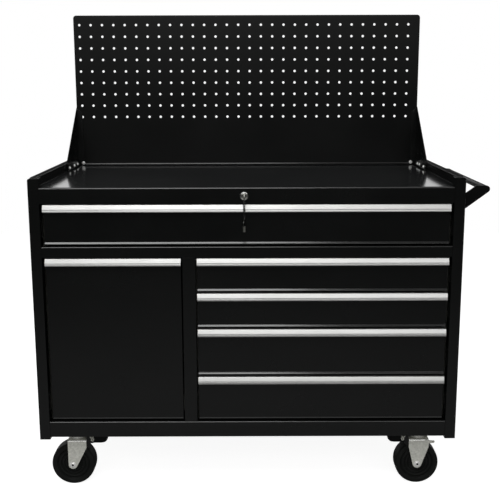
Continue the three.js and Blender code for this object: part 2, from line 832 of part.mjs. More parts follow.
for (const drawer of drawers) {
  const { bank, bottom, name } = drawer;
  const place = new THREE.Group();
  place.position.set((bank.left + bank.right) / 2, faceRecess, bottom);
  place.add(meshOf(`${name}_box`, drawerSolid(drawer), 'blackSteel'));
  place.add(meshOf(`${name}_pull`, pullSolid(drawer), 'aluminium'));
  cabinet.add(place);
}

const inBank = (bank) => drawers.filter((drawer) => drawer.bank === bank).map(slideLevel);
const wallDistance = sideInner - gap - wholeBank.right;
const dividerDistance = dividerCentre - leftBank.right - sheet / 2 - gap;
for (const [name, x, side, distance, levels] of [
  ['left_slide_rack', wholeBank.left, 1, wallDistance, [...inBank(leftBank), ...inBank(wholeBank)]],
  ['right_slide_rack', wholeBank.right, -1, wallDistance, [...inBank(rightBank), ...inBank(wholeBank)]],
  ['divider_left_rack', leftBank.right, -1, dividerDistance, inBank(leftBank)],
  ['divider_right_rack', rightBank.left, 1, dividerDistance, inBank(rightBank)],
]) {
  const rack = meshOf(name, slideRackSolid(side, distance, levels), 'zinc');
  rack.position.x = x;
  cabinet.add(rack);
}

trolley.add(cabinet);

const casters = [
  { name: 'front_left', side: -1, y: kingpinSetback, trail: leftTrail, lead: leftForkLead,
    pedalSide: 1 },
  { name: 'front_right', side: 1, y: kingpinSetback, trail: rightTrail, lead: rightForkLead,
    pedalSide: -1 },
  { name: 'rear_left', side: -1, y: cabinetDepth - kingpinSetback, trail: leftTrail, lead: leftForkLead,
    pedalSide: 0 },
  { name: 'rear_right', side: 1, y: cabinetDepth - kingpinSetback, trail: rightTrail, lead: rightForkLead,
    pedalSide: 0 },
];
for (const { name, side, y, trail, lead, pedalSide } of casters) {
  const caster = new THREE.Group();
  caster.position.set(side * (halfWidth - kingpinInset), y, 0);
  caster.add(meshOf(`${name}_caster_plate`, casterPlateSolid(), 'zinc'));
  caster.add(meshOf(`${name}_fork`, forkSolid(trail, lead, pedalSide), 'zinc'));
  const wheel = meshOf(`${name}_wheel`, wheelSolid(), 'rubber');
  const axle = meshOf(`${name}_axle`, axleSolid(), 'chrome');
  for (const turning of [wheel, axle]) {
    turning.position.set(-trail, 0, wheelRadius);
    caster.add(turning);
  }
  if (pedalSide !== 0) {
    const pedal = meshOf(`${name}_brake_pedal`, pedalSolid(pedalSide), 'pedal');
    pedal.position.set(pedalSide * pedalPivotOut, 0, forkTop - forkWall - pedalPivotDrop);
    caster.add(pedal);
  }
  trolley.add(caster);
}

// The origin goes under the middle of the trolley, key and handle included
trolley.position.set(-handleReach / 2, -(cabinetDepth - keyFront) / 2, 0);

export default trolley;
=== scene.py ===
import json
import math

import bmesh
import bpy
import numpy as np
from mathutils import Matrix, Vector

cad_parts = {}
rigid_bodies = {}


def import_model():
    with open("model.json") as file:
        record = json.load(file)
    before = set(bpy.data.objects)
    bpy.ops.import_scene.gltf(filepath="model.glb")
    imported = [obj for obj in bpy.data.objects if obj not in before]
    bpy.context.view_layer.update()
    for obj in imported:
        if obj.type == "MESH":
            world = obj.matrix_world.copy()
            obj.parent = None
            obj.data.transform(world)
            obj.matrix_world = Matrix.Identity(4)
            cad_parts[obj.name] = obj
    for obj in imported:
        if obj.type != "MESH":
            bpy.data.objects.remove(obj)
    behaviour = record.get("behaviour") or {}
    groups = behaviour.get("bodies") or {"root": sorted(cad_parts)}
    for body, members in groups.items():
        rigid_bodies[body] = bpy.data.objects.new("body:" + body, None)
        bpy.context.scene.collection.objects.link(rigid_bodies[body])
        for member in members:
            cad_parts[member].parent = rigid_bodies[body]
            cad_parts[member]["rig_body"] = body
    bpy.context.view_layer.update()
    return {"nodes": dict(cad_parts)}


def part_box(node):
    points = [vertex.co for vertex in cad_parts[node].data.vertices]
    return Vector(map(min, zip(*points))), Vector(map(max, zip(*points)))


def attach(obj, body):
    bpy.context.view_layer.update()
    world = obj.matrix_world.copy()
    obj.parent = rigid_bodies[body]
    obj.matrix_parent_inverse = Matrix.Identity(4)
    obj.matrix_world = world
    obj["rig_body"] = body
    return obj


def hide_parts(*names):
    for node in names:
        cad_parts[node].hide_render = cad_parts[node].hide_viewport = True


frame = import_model()
scene = bpy.context.scene
print("frame loaded:", len(frame["nodes"]), "nodes")

# Lengths below are in millimetres in the cabinet's own coordinates: X = 0 at its middle,
# Y = 0 at the front of its posts, Z = 0 at their feet. This shift takes them to the frame.
cabinetShift = np.array([-45.0, -312.5, 157.0])


# ---- camera, worked out from the hole grid and the cabinet's edges ----

cameraView = {
    "place": (-0.03894, -2.69272, 1.18083),
    "yaw": 0.00104,
    "pitch": 0.1935,
    "roll": 0.00279,
    "focalPixels": 875.18,
    "framePixels": 500.0,
    "sensorWidth": 36.0,
    "clip": (0.05, 60.0),
}


def placeCamera(view):
    data = bpy.data.cameras.new("photoCamera")
    data.sensor_width = view["sensorWidth"]
    data.lens = view["sensorWidth"] * view["focalPixels"] / view["framePixels"]
    data.clip_start, data.clip_end = view["clip"]
    yaw, pitch, roll = view["yaw"], view["pitch"], view["roll"]
    ahead = Vector((math.sin(yaw), math.cos(yaw), 0.0))
    right = Vector((math.cos(yaw), -math.sin(yaw), 0.0))
    down = Vector((0.0, 0.0, -1.0))
    forward = ahead * math.cos(pitch) + down * math.sin(pitch)
    lower = down * math.cos(pitch) - ahead * math.sin(pitch)
    side = right * math.cos(roll) + lower * math.sin(roll)
    under = lower * math.cos(roll) - right * math.sin(roll)
    camera = bpy.data.objects.new("photoCamera", data)
    camera.matrix_world = Matrix((
        (side.x, -under.x, -forward.x, view["place"][0]),
        (side.y, -under.y, -forward.y, view["place"][1]),
        (side.z, -under.z, -forward.z, view["place"][2]),
        (0.0, 0.0, 0.0, 1.0),
    ))
    scene.collection.objects.link(camera)
    scene.camera = camera


placeCamera(cameraView)


# ---- shared surface effects, as node groups ----

# places of the sockets of a Mix node: factor, the two colours or values, and the result
mixFactor, mixResult = 0, {"RGBA": 2, "FLOAT": 0}
mixEnds = {"RGBA": (6, 7), "FLOAT": (2, 3)}
peelEffect = {"fineDetail": 2.0, "slowDetail": 1.0, "slowShare": 0.6}
driftEffect = {"detail": 5.0, "roughness": 0.6, "range": (0.35, 0.65)}
toneEffect = {"detail": 6.0, "roughness": 0.65, "range": (0.3, 0.7)}
brushEffect = {"squeeze": (0.008, 1.0, 1.0), "detail": 3.0, "range": (0.3, 0.7)}
spangleEffect = {"detail": 4.0, "scale": 900.0, "cellShare": 0.55, "speckShare": 0.5}


def newGroup(name, inputs, outputs):
    group = bpy.data.node_groups.new(name, "ShaderNodeTree")
    for label, kind, value in inputs:
        socket = group.interface.new_socket(name=label, in_out="INPUT", socket_type=kind)
        socket.default_value = value
    for label, kind in outputs:
        group.interface.new_socket(name=label, in_out="OUTPUT", socket_type=kind)
    return group, group.nodes.new("NodeGroupInput"), group.nodes.new("NodeGroupOutput")


def feed(tree, socket, value):
    # a number is set on the socket, anything else is linked to it
    if isinstance(value, (int, float)):
        socket.default_value = value
    else:
        tree.links.new(value, socket)


def noiseNode(tree, vector, detail, scale, roughness=0.5):
    noise = tree.nodes.new("ShaderNodeTexNoise")
    tree.links.new(vector, noise.inputs["Vector"])
    for label, value in (("Detail", detail), ("Scale", scale), ("Roughness", roughness)):
        feed(tree, noise.inputs[label], value)
    return noise


def mathNode(tree, operation, first, second):
    node = tree.nodes.new("ShaderNodeMath")
    node.operation = operation
    for socket, value in zip(node.inputs, (first, second)):
        feed(tree, socket, value)
    return node.outputs[0]


def rangeNode(tree, value, low, high, toLow, toHigh):
    node = tree.nodes.new("ShaderNodeMapRange")
    tree.links.new(value, node.inputs["Value"])
    for label, end in (("From Min", low), ("From Max", high), ("To Min", toLow), ("To Max", toHigh)):
        feed(tree, node.inputs[label], end)
    return node.outputs["Result"]


def mixNode(tree, kind, factor, first, second):
    node = tree.nodes.new("ShaderNodeMix")
    node.data_type = kind
    feed(tree, node.inputs[mixFactor], factor)
    for place, value in zip(mixEnds[kind], (first, second)):
        feed(tree, node.inputs[place], value)
    return node.outputs[mixResult[kind]]


def makePeelGroup():
    # orange peel of powder paint: a fine grain plus a slower wave
    group, entry, leave = newGroup(
        "paintPeel",
        [("Grain", "NodeSocketFloat", 700.0), ("Wave", "NodeSocketFloat", 90.0)],
        [("Height", "NodeSocketFloat")],
    )
    where = group.nodes.new("ShaderNodeTexCoord").outputs["Object"]
    fine = noiseNode(group, where, peelEffect["fineDetail"], entry.outputs["Grain"])
    slow = noiseNode(group, where, peelEffect["slowDetail"], entry.outputs["Wave"])
    share = mathNode(group, "MULTIPLY", slow.outputs[0], peelEffect["slowShare"])
    group.links.new(mathNode(group, "ADD", fine.outputs[0], share), leave.inputs["Height"])
    return group


def makeDriftGroup():
    # a value that drifts slowly between two ends over a panel
    group, entry, leave = newGroup(
        "finishDrift",
        [("Scale", "NodeSocketFloat", 5.0), ("Low", "NodeSocketFloat", 0.3),
         ("High", "NodeSocketFloat", 0.4)],
        [("Value", "NodeSocketFloat")],
    )
    where = group.nodes.new("ShaderNodeTexCoord").outputs["Object"]
    broad = noiseNode(group, where, driftEffect["detail"], entry.outputs["Scale"],
                      driftEffect["roughness"])
    value = rangeNode(group, broad.outputs[0], *driftEffect["range"], entry.outputs["Low"],
                      entry.outputs["High"])
    group.links.new(value, leave.inputs["Value"])
    return group


def makeToneGroup():
    # two shades of one colour in soft patches
    group, entry, leave = newGroup(
        "toneDrift",
        [("Dark", "NodeSocketColor", (0, 0, 0, 1)), ("Light", "NodeSocketColor", (1, 1, 1, 1)),
         ("Scale", "NodeSocketFloat", 20.0)],
        [("Color", "NodeSocketColor")],
    )
    where = group.nodes.new("ShaderNodeTexCoord").outputs["Object"]
    patches = noiseNode(group, where, toneEffect["detail"], entry.outputs["Scale"],
                        toneEffect["roughness"])
    mask = rangeNode(group, patches.outputs[0], *toneEffect["range"], 0.0, 1.0)
    shade = mixNode(group, "RGBA", mask, entry.outputs["Dark"], entry.outputs["Light"])
    group.links.new(shade, leave.inputs["Color"])
    return group


def makeBrushGroup():
    # brushing lines along X: noise squeezed across Y and Z
    group, entry, leave = newGroup(
        "brushLines",
        [("Fineness", "NodeSocketFloat", 900.0), ("Low", "NodeSocketFloat", 0.25),
         ("High", "NodeSocketFloat", 0.4)],
        [("Value", "NodeSocketFloat"), ("Height", "NodeSocketFloat")],
    )
    where = group.nodes.new("ShaderNodeTexCoord").outputs["Object"]
    squeeze = group.nodes.new("ShaderNodeMapping")
    squeeze.inputs["Scale"].default_value = brushEffect["squeeze"]
    group.links.new(where, squeeze.inputs["Vector"])
    lines = noiseNode(group, squeeze.outputs["Vector"], brushEffect["detail"], entry.outputs["Fineness"])
    value = rangeNode(group, lines.outputs[0], *brushEffect["range"], entry.outputs["Low"],
                      entry.outputs["High"])
    group.links.new(value, leave.inputs["Value"])
    group.links.new(lines.outputs[0], leave.inputs["Height"])
    return group


def makeSpangleGroup():
    # zinc crystals: cells of slightly different tone under a fine noise
    group, entry, leave = newGroup(
        "zincSpangle",
        [("Size", "NodeSocketFloat", 260.0), ("Dark", "NodeSocketColor", (0.4, 0.4, 0.38, 1)),
         ("Light", "NodeSocketColor", (0.6, 0.6, 0.57, 1))],
        [("Color", "NodeSocketColor"), ("Height", "NodeSocketFloat")],
    )
    where = group.nodes.new("ShaderNodeTexCoord").outputs["Object"]
    cells = group.nodes.new("ShaderNodeTexVoronoi")
    group.links.new(where, cells.inputs["Vector"])
    group.links.new(entry.outputs["Size"], cells.inputs["Scale"])
    speck = noiseNode(group, where, spangleEffect["detail"], spangleEffect["scale"])
    tone = group.nodes.new("ShaderNodeSeparateColor")
    group.links.new(cells.outputs["Color"], tone.inputs[0])
    share = mathNode(group, "MULTIPLY", tone.outputs[0], spangleEffect["cellShare"])
    specks = mathNode(group, "MULTIPLY", speck.outputs[0], spangleEffect["speckShare"])
    blend = mathNode(group, "ADD", share, specks)
    shade = mixNode(group, "RGBA", blend, entry.outputs["Dark"], entry.outputs["Light"])
    group.links.new(shade, leave.inputs["Color"])
    group.links.new(speck.outputs[0], leave.inputs["Height"])
    return group


peelGroup = makePeelGroup()
driftGroup = makeDriftGroup()
toneGroup = makeToneGroup()
brushGroup = makeBrushGroup()
spangleGroup = makeSpangleGroup()


# ---- materials ----

def bareMaterial(name, settings):
    material = bpy.data.materials.new(name)
    material.use_nodes = True
    shader = material.node_tree.nodes["Principled BSDF"]
    for label, value in settings.items():
        shader.inputs[label].default_value = value
    return material, material.node_tree, shader


def placeGroup(tree, group, **values):
    node = tree.nodes.new("ShaderNodeGroup")
    node.node_tree = group
    for label, value in values.items():
        node.inputs[label].default_value = value
    return node


def shadesOf(look):
    return {"Dark": (*look["dark"], 1), "Light": (*look["light"], 1)}


def endsOf(look):
    return dict(zip(("Low", "High"), look["roughness"]))


def bumpFrom(tree, shader, height, distance):
    bump = tree.nodes.new("ShaderNodeBump")
    bump.inputs["Distance"].default_value = distance
    bump.inputs["Strength"].default_value = 1.0
    tree.links.new(height, bump.inputs["Height"])
    tree.links.new(bump.outputs["Normal"], shader.inputs["Normal"])


def paintMaterial(name, look):
    material, tree, shader = bareMaterial(name, {"Specular IOR Level": look["specular"]})
    tone = placeGroup(tree, toneGroup, Scale=look["patches"], **shadesOf(look))
    drift = placeGroup(tree, driftGroup, Scale=look["driftScale"], **endsOf(look))
    peel = placeGroup(tree, peelGroup, Grain=look["grain"], Wave=look["wave"])
    tree.links.new(tone.outputs["Color"], shader.inputs["Base Color"])
    tree.links.new(drift.outputs["Value"], shader.inputs["Roughness"])
    bumpFrom(tree, shader, peel.outputs["Height"], look["peelDepth"])
    return material


def brushedMaterial(name, look):
    material, tree, shader = bareMaterial(name, {"Metallic": 1.0, "Anisotropic": look["anisotropy"]})
    tone = placeGroup(tree, toneGroup, Scale=look["patches"], **shadesOf(look))
    lines = placeGroup(tree, brushGroup, Fineness=look["fineness"], **endsOf(look))
    tree.links.new(tone.outputs["Color"], shader.inputs["Base Color"])
    tree.links.new(lines.outputs["Value"], shader.inputs["Roughness"])
    bumpFrom(tree, shader, lines.outputs["Height"], look["lineDepth"])
    return material


def zincMaterial(name, look):
    material, tree, shader = bareMaterial(name, {"Metallic": look["metallic"]})
    spangle = placeGroup(tree, spangleGroup, Size=look["cells"], **shadesOf(look))
    drift = placeGroup(tree, driftGroup, Scale=look["driftScale"], **endsOf(look))
    tree.links.new(spangle.outputs["Color"], shader.inputs["Base Color"])
    tree.links.new(drift.outputs["Value"], shader.inputs["Roughness"])
    bumpFrom(tree, shader, spangle.outputs["Height"], look["speckDepth"])
    return material


outerPaint = {
    "dark": (0.0014, 0.0017, 0.0016), "light": (0.0028, 0.0031, 0.0029), "patches": 3.0,
    "roughness": (0.22, 0.28), "driftScale": 4.0, "specular": 0.28, "grain": 620.0, "wave": 120.0,
    "peelDepth": 0.00002,
}
topPaint = dict(outerPaint, roughness=(0.8, 0.9), specular=0.03)
# the tray floor's copy of the black paint, with a base about seven times lighter: painted light on the floor
# of the tray
polishedFloorPaintedLight = dict(outerPaint, dark=(0.010, 0.011, 0.0115), light=(0.021, 0.022, 0.0225), patches=1.6,
                     roughness=(0.1, 0.13), specular=0.5, peelDepth=0.000004)
boardPaint = dict(outerPaint, roughness=(0.29, 0.36), specular=0.14)
handlePaint = dict(outerPaint, roughness=(0.34, 0.42), specular=0.12)
# the hems' copy of the black paint, with a base ten times lighter and full specular: a painted highlight on
# drawer hems, rail edges and the pegboard's foot bead
lipPaintedHighlight = dict(outerPaint, dark=(0.014, 0.0142, 0.014), light=(0.022, 0.0224, 0.022), roughness=(0.17, 0.21),
                specular=1.0, peelDepth=0.000002)
innerPaint = dict(outerPaint, dark=(0.008, 0.008, 0.0082), light=(0.014, 0.014, 0.0143),
                  roughness=(0.45, 0.6))
rubberLook = dict(outerPaint, dark=(0.0075, 0.0079, 0.0075), light=(0.0135, 0.0142, 0.0136), patches=26.0,
                  roughness=(0.42, 0.5), driftScale=20.0, specular=0.06, grain=900.0, wave=200.0,
                  peelDepth=0.00003)
mouldedLook = dict(outerPaint, roughness=(0.3, 0.4), specular=0.1, grain=1400.0, peelDepth=0.00002)
pullLook = {
    "dark": (0.635, 0.635, 0.62), "light": (0.69, 0.69, 0.675), "patches": 9.0, "anisotropy": 0.3,
    "fineness": 1500.0, "roughness": (0.35, 0.39), "lineDepth": 0.000001,
}
chromeLook = {
    "dark": (0.68, 0.68, 0.66), "light": (0.80, 0.80, 0.78), "patches": 60.0, "anisotropy": 0.0,
    "fineness": 2500.0, "roughness": (0.12, 0.2), "lineDepth": 0.000003,
}
keyLook = dict(chromeLook, dark=(0.30, 0.30, 0.27), light=(0.42, 0.42, 0.38), roughness=(0.26, 0.36))
wireLook = dict(chromeLook, dark=(0.028, 0.028, 0.027), light=(0.055, 0.055, 0.053), roughness=(0.2, 0.28))
zincLook = {
    "metallic": 0.55, "cells": 240.0, "dark": (0.58, 0.58, 0.52), "light": (0.88, 0.88, 0.81),
    "driftScale": 30.0, "roughness": (0.4, 0.52), "speckDepth": 0.00003,
}
ballLook = dict(zincLook, dark=(0.26, 0.26, 0.24), light=(0.92, 0.92, 0.87), cells=420.0)
boltLook = dict(zincLook, metallic=0.45, dark=(0.9, 0.9, 0.88), light=(0.98, 0.98, 0.96),
                roughness=(0.3, 0.4))
# sloping faces of the forks take this brighter, glossier zinc: a painted highlight along the bend
bendPaintedHighlight = dict(boltLook, metallic=0.8, roughness=(0.16, 0.22))
# the racks' zinc at about a fifth of the plain zinc: painted shade inside the cabinet
rackLookPaintedShade = dict(zincLook, dark=(0.10, 0.10, 0.09), light=(0.2, 0.2, 0.18), roughness=(0.5, 0.65))

materials = {
    "outer": paintMaterial("blackEnamel", outerPaint),
    "tops": paintMaterial("dullTopEnamel", topPaint),
    "polished": paintMaterial("trayFloorEnamelPaintedLight", polishedFloorPaintedLight),
    "handle": paintMaterial("handleEnamel", handlePaint),
    "bolt": zincMaterial("boltZinc", boltLook),
    "bend": zincMaterial("bentZincPaintedHighlight", bendPaintedHighlight),
    "board": paintMaterial("pegboardEnamel", boardPaint),
    "inner": paintMaterial("innerEnamel", innerPaint),
    "rubber": paintMaterial("hardRubber", rubberLook),
    "moulded": paintMaterial("pedalMoulding", mouldedLook),
    "pull": brushedMaterial("anodisedPull", pullLook),
    "chrome": brushedMaterial("polishedChrome", chromeLook),
    "key": brushedMaterial("nickelKey", keyLook),
    "wire": brushedMaterial("darkWire", wireLook),
    "lip": paintMaterial("hemEnamelPaintedHighlight", lipPaintedHighlight),
    "rack": zincMaterial("rackZincPaintedShade", rackLookPaintedShade),
    "zinc": zincMaterial("zincPlate", zincLook),
    "race": zincMaterial("raceSteel", ballLook),
}
print("materials made:", len(materials))


# ---- making pieces ----

def toFrame(points):
    return (np.asarray(points, float).reshape(-1, 3) + cabinetShift) / 1000.0


# metres: doubles nearer than the first become one point, edges shorter than the others are dropped
mergeDistance, softMerge, tinyEdge, bevelSliver = 2e-6, 1e-6, 1e-6, 2e-5
flatAngle = math.radians(1.0)
normalWeight = 60
# a face whose normal passes these takes its piece's finish for upward, floor or sloping faces;
# the tray's floor lies below its rim's level in metres
topNormal, slopeNormal, trayRimLevel = 0.94, 0.25, 0.8895
upwardFinish = {"outer": "tops", "board": "tops", "handle": "tops"}
# the tray floor's upward faces take that lighter paint: painted light
floorFinish = {"tray_soft": "polished"}
casterNames = ("front_left", "front_right", "rear_left", "rear_right")
# sloping faces of the rails take the lighter hem paint and those of the forks the brighter bent zinc: painted
# highlights along their upper front bends
slopeFinish = {word + "_rail_soft": "lip" for word in ("top", "middle", "bottom")}
slopeFinish.update({name + "_fork_soft": "bend" for name in casterNames})


def finishPiece(name, mesh, body, finish, replaced=(), smoothAngle=32.0):
    # normals are weighted by face area, so that a large face stays flat beside its rounded edges
    if "custom_normal" in mesh.attributes:
        mesh.attributes.remove(mesh.attributes["custom_normal"])
    mesh.shade_smooth()
    mesh.set_sharp_from_angle(angle=math.radians(smoothAngle))
    mesh.materials.clear()
    mesh.materials.append(materials[finish])
    parts = len(mesh.polygons)
    normals, centres = np.empty(parts * 3), np.empty(parts * 3)
    mesh.polygons.foreach_get("normal", normals)
    mesh.polygons.foreach_get("center", centres)
    normals, centres = normals.reshape(-1, 3), centres.reshape(-1, 3)
    upward = normals[:, 2] > topNormal
    sloped = (normals[:, 1] < -slopeNormal) & (normals[:, 2] > slopeNormal)
    chosen = np.zeros(parts, np.int32)
    for where, other in ((upward, upwardFinish.get(finish)),
                         (upward & (centres[:, 2] < trayRimLevel), floorFinish.get(name)),
                         (sloped, slopeFinish.get(name))):
        if other:
            chosen[where] = len(mesh.materials)
            mesh.materials.append(materials[other])
    mesh.polygons.foreach_set("material_index", chosen)
    piece = bpy.data.objects.new(name, mesh)
    scene.collection.objects.link(piece)
    weighted = piece.modifiers.new("weightedNormal", "WEIGHTED_NORMAL")
    weighted.keep_sharp = True
    weighted.weight = normalWeight
    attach(piece, body)
    if replaced:
        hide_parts(*replaced)
    return piece


def solidPiece(name, parts, body, finish, replaced=(), smoothAngle=32.0):
    # parts are (points, faces) pairs; doubles are merged and faces turned outwards
    points, faces, start = [], [], 0
    for partPoints, partFaces in parts:
        points.append(toFrame(partPoints))
        faces.extend([[int(i) + start for i in face] for face in partFaces])
        start += len(points[-1])
    mesh = bpy.data.meshes.new(name)
    mesh.from_pydata(np.concatenate(points).tolist(), [], faces)
    work = bmesh.new()
    work.from_mesh(mesh)
    bmesh.ops.remove_doubles(work, verts=work.verts, dist=mergeDistance)
    bmesh.ops.dissolve_degenerate(work, edges=work.edges, dist=tinyEdge)
    bmesh.ops.recalc_face_normals(work, faces=work.faces)
    work.to_mesh(mesh)
    work.free()
    return finishPiece(name, mesh, body, finish, replaced, smoothAngle)


def gridQuads(rows, columns, wrapRows=False, wrapColumns=False):
    # the four corners of every cell of a rows x columns grid of points
    r = np.arange(rows if wrapRows else rows - 1)[:, None]
    c = np.arange(columns if wrapColumns else columns - 1)[None, :]
    nextRow, nextColumn = (r + 1) % rows, (c + 1) % columns
    corners = [r * columns + c, r * columns + nextColumn, nextRow * columns + nextColumn,
               nextRow * columns + c]
    return np.stack(corners, -1).reshape(-1, 4)


def extrudedOutline(outline, low, high, axis):
    # a closed outline in the two other axes, carried straight along axis from low to high,
    # with a flat face at each end
    outline = np.asarray(outline, float)
    count = len(outline)
    ends = np.array([low, high], float)[:, None]
    grid = np.empty((2, count, 3))
    others = [i for i in range(3) if i != axis]
    grid[..., axis] = ends
    grid[..., others[0]] = outline[:, 0]
    grid[..., others[1]] = outline[:, 1]
    faces = gridQuads(2, count, wrapColumns=True).tolist()
    faces += [list(range(count)), list(range(count, 2 * count))]
    return grid.reshape(-1, 3), faces


def turnedOutline(outline, centre, axis, segments):
    # a profile of (radius, place along the axis) points turned once about that axis:
    # point = centre + radius (cos t, sin t) across it + place along it
    outline = np.asarray(outline, float)
    turn = np.linspace(0.0, 2.0 * np.pi, segments, endpoint=False)
    radius, place = outline[:, 0][:, None], outline[:, 1][:, None]
    others = [i for i in range(3) if i != axis]
    grid = np.empty((len(outline), segments, 3))
    grid[..., axis] = place + centre[axis]
    grid[..., others[0]] = radius * np.cos(turn) + centre[others[0]]
    grid[..., others[1]] = radius * np.sin(turn) + centre[others[1]]
    return grid.reshape(-1, 3), gridQuads(len(outline), segments, wrapColumns=True)


def wireAlong(path, radius, sides, closed, reference):
    # a round wire along a path: a circle in the plane across the path at each point
    path = np.asarray(path, float)
    if closed:
        ahead = np.roll(path, -1, 0) - np.roll(path, 1, 0)
    else:
        ahead = np.gradient(path, axis=0)
    ahead /= np.linalg.norm(ahead, axis=1)[:, None]
    across = np.cross(ahead, np.asarray(reference, float))
    across /= np.linalg.norm(across, axis=1)[:, None]
    upward = np.cross(across, ahead)
    turn = np.linspace(0.0, 2.0 * np.pi, sides, endpoint=False)
    grid = (path[:, None] + radius * (np.cos(turn)[None, :, None] * across[:, None]
                                      + np.sin(turn)[None, :, None] * upward[:, None]))
    faces = gridQuads(len(path), sides, wrapRows=closed, wrapColumns=True).tolist()
    if not closed:
        faces += [list(range(sides)), list(range((len(path) - 1) * sides, len(path) * sides))]
    return grid.reshape(-1, 3), faces


cornerSteps = 6


def arcPoints(a, b, radius, start, end):
    # points of an arc about (a, b), angles in degrees
    turn = np.radians(np.linspace(start, end, cornerSteps + 1))
    return np.stack([a + radius * np.cos(turn), b + radius * np.sin(turn)], 1).tolist()


def softened(node, name, width, finish, segments=2, smoothAngle=40.0):
    # a copy of a CAD node's solid with its loose triangles merged and its edges rounded
    source = frame["nodes"][node]
    mesh = source.data.copy()
    mesh.name = name
    work = bmesh.new()
    work.from_mesh(mesh)
    bmesh.ops.remove_doubles(work, verts=work.verts, dist=softMerge)
    bmesh.ops.dissolve_limit(work, angle_limit=flatAngle, verts=work.verts, edges=work.edges)
    limit = math.radians(smoothAngle)
    sharp = [e for e in work.edges if len(e.link_faces) == 2 and e.calc_face_angle(0.0) > limit]
    bmesh.ops.bevel(work, geom=sharp, offset=width / 1000.0, offset_type="OFFSET", segments=segments,
                    profile=0.5, affect="EDGES", clamp_overlap=True)
    bmesh.ops.remove_doubles(work, verts=work.verts, dist=softMerge)
    bmesh.ops.dissolve_degenerate(work, edges=work.edges, dist=bevelSliver)
    work.to_mesh(mesh)
    work.free()
    return finishPiece(name, mesh, source["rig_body"], finish, (node,), smoothAngle)


def frameBoxOf(node):
    # a CAD node's box in the cabinet's coordinates, in millimetres
    low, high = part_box(node)
    return np.array(low) * 1000.0 - cabinetShift, np.array(high) * 1000.0 - cabinetShift


# ---- cabinet ----

# width of each rounded edge in millimetres, and the finish
softEdges = {
    "left_front_post": (0.7, "outer"), "right_front_post": (0.7, "outer"),
    "left_side_panel": (0.7, "outer"), "right_side_panel": (0.7, "outer"),
    "back_panel": (0.7, "outer"), "floor_panel": (0.5, "inner"), "divider": (0.6, "outer"),
    "tray": (0.6, "outer"), "left_gusset": (0.6, "outer"), "right_gusset": (0.6, "outer"),
    "top_rail": (1.4, "outer"), "middle_rail": (2.0, "outer"), "bottom_rail": (1.2, "outer"),
    "front_handle_arm": (1.2, "handle"), "rear_handle_arm": (1.2, "handle"),
    "lock_plug": (0.4, "chrome"), "key": (0.35, "key"), "lock_cam": (0.3, "zinc"),
    "left_slide_rack": (0.4, "rack"), "right_slide_rack": (0.4, "rack"),
    "divider_left_rack": (0.4, "rack"), "divider_right_rack": (0.4, "rack"),
}
for node, (width, finish) in softEdges.items():
    softened(node, node + "_soft", width, finish)
print("cabinet softened")


# ---- pegboard ----

pegboard = {
    "halfWidth": 580.5, "bottom": 735.5, "top": 1232.0, "front": 640.0, "sheet": 1.5, "fold": 12.0,
    "foldRadius": 2.5, "cornerRadius": 10.0, "pitch": 38.0, "holeRadius": 4.0, "columns": 30, "rows": 9,
    "shift": -9.4, "topDrop": 31.5, "cellHalf": 16.0, "holeFaces": 16, "foldSteps": 4,
}


